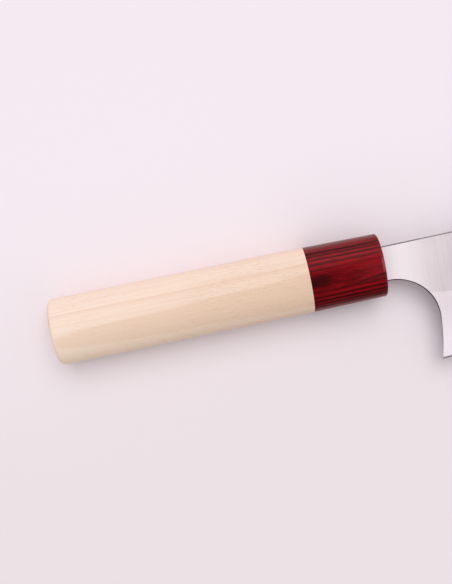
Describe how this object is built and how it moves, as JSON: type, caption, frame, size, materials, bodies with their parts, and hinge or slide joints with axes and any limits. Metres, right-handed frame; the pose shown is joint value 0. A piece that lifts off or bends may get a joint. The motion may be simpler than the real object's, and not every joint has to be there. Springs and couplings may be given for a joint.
{
  "type": "gyuto knife",
  "caption": "Cook's knife with a deep curved steel blade on a hidden tang, and a plain oval wooden handle with a dark red veneered ferrule, for slicing meat and vegetables.",
  "frame": {"origin": "centre of the flat butt face, on the handle's axis", "axes": "+X along the handle's axis to the point, +Y from the cutting edge to the spine, +Z out of the blade's right face, which is up when the knife lies as in the picture"},
  "size_m": [0.3579, 0.0553, 0.0202],
  "materials": {
    "blade_steel": "bright satin, polished along the spine and the choil",
    "grip_magnolia": "bare wood, sanded smooth",
    "ferrule_veneers": "resin-filled dark red and black veneers, polished",
    "dowel_hardwood": "bare, turned",
    "tang_resin": "clear amber, cured in place"
  },
  "bodies": {
    "root": {"blade": "blade_steel", "grip": "grip_magnolia", "ferrule": "ferrule_veneers", "dowel": "dowel_hardwood", "tang_resin": "tang_resin"}
  },
  "joints": []
}
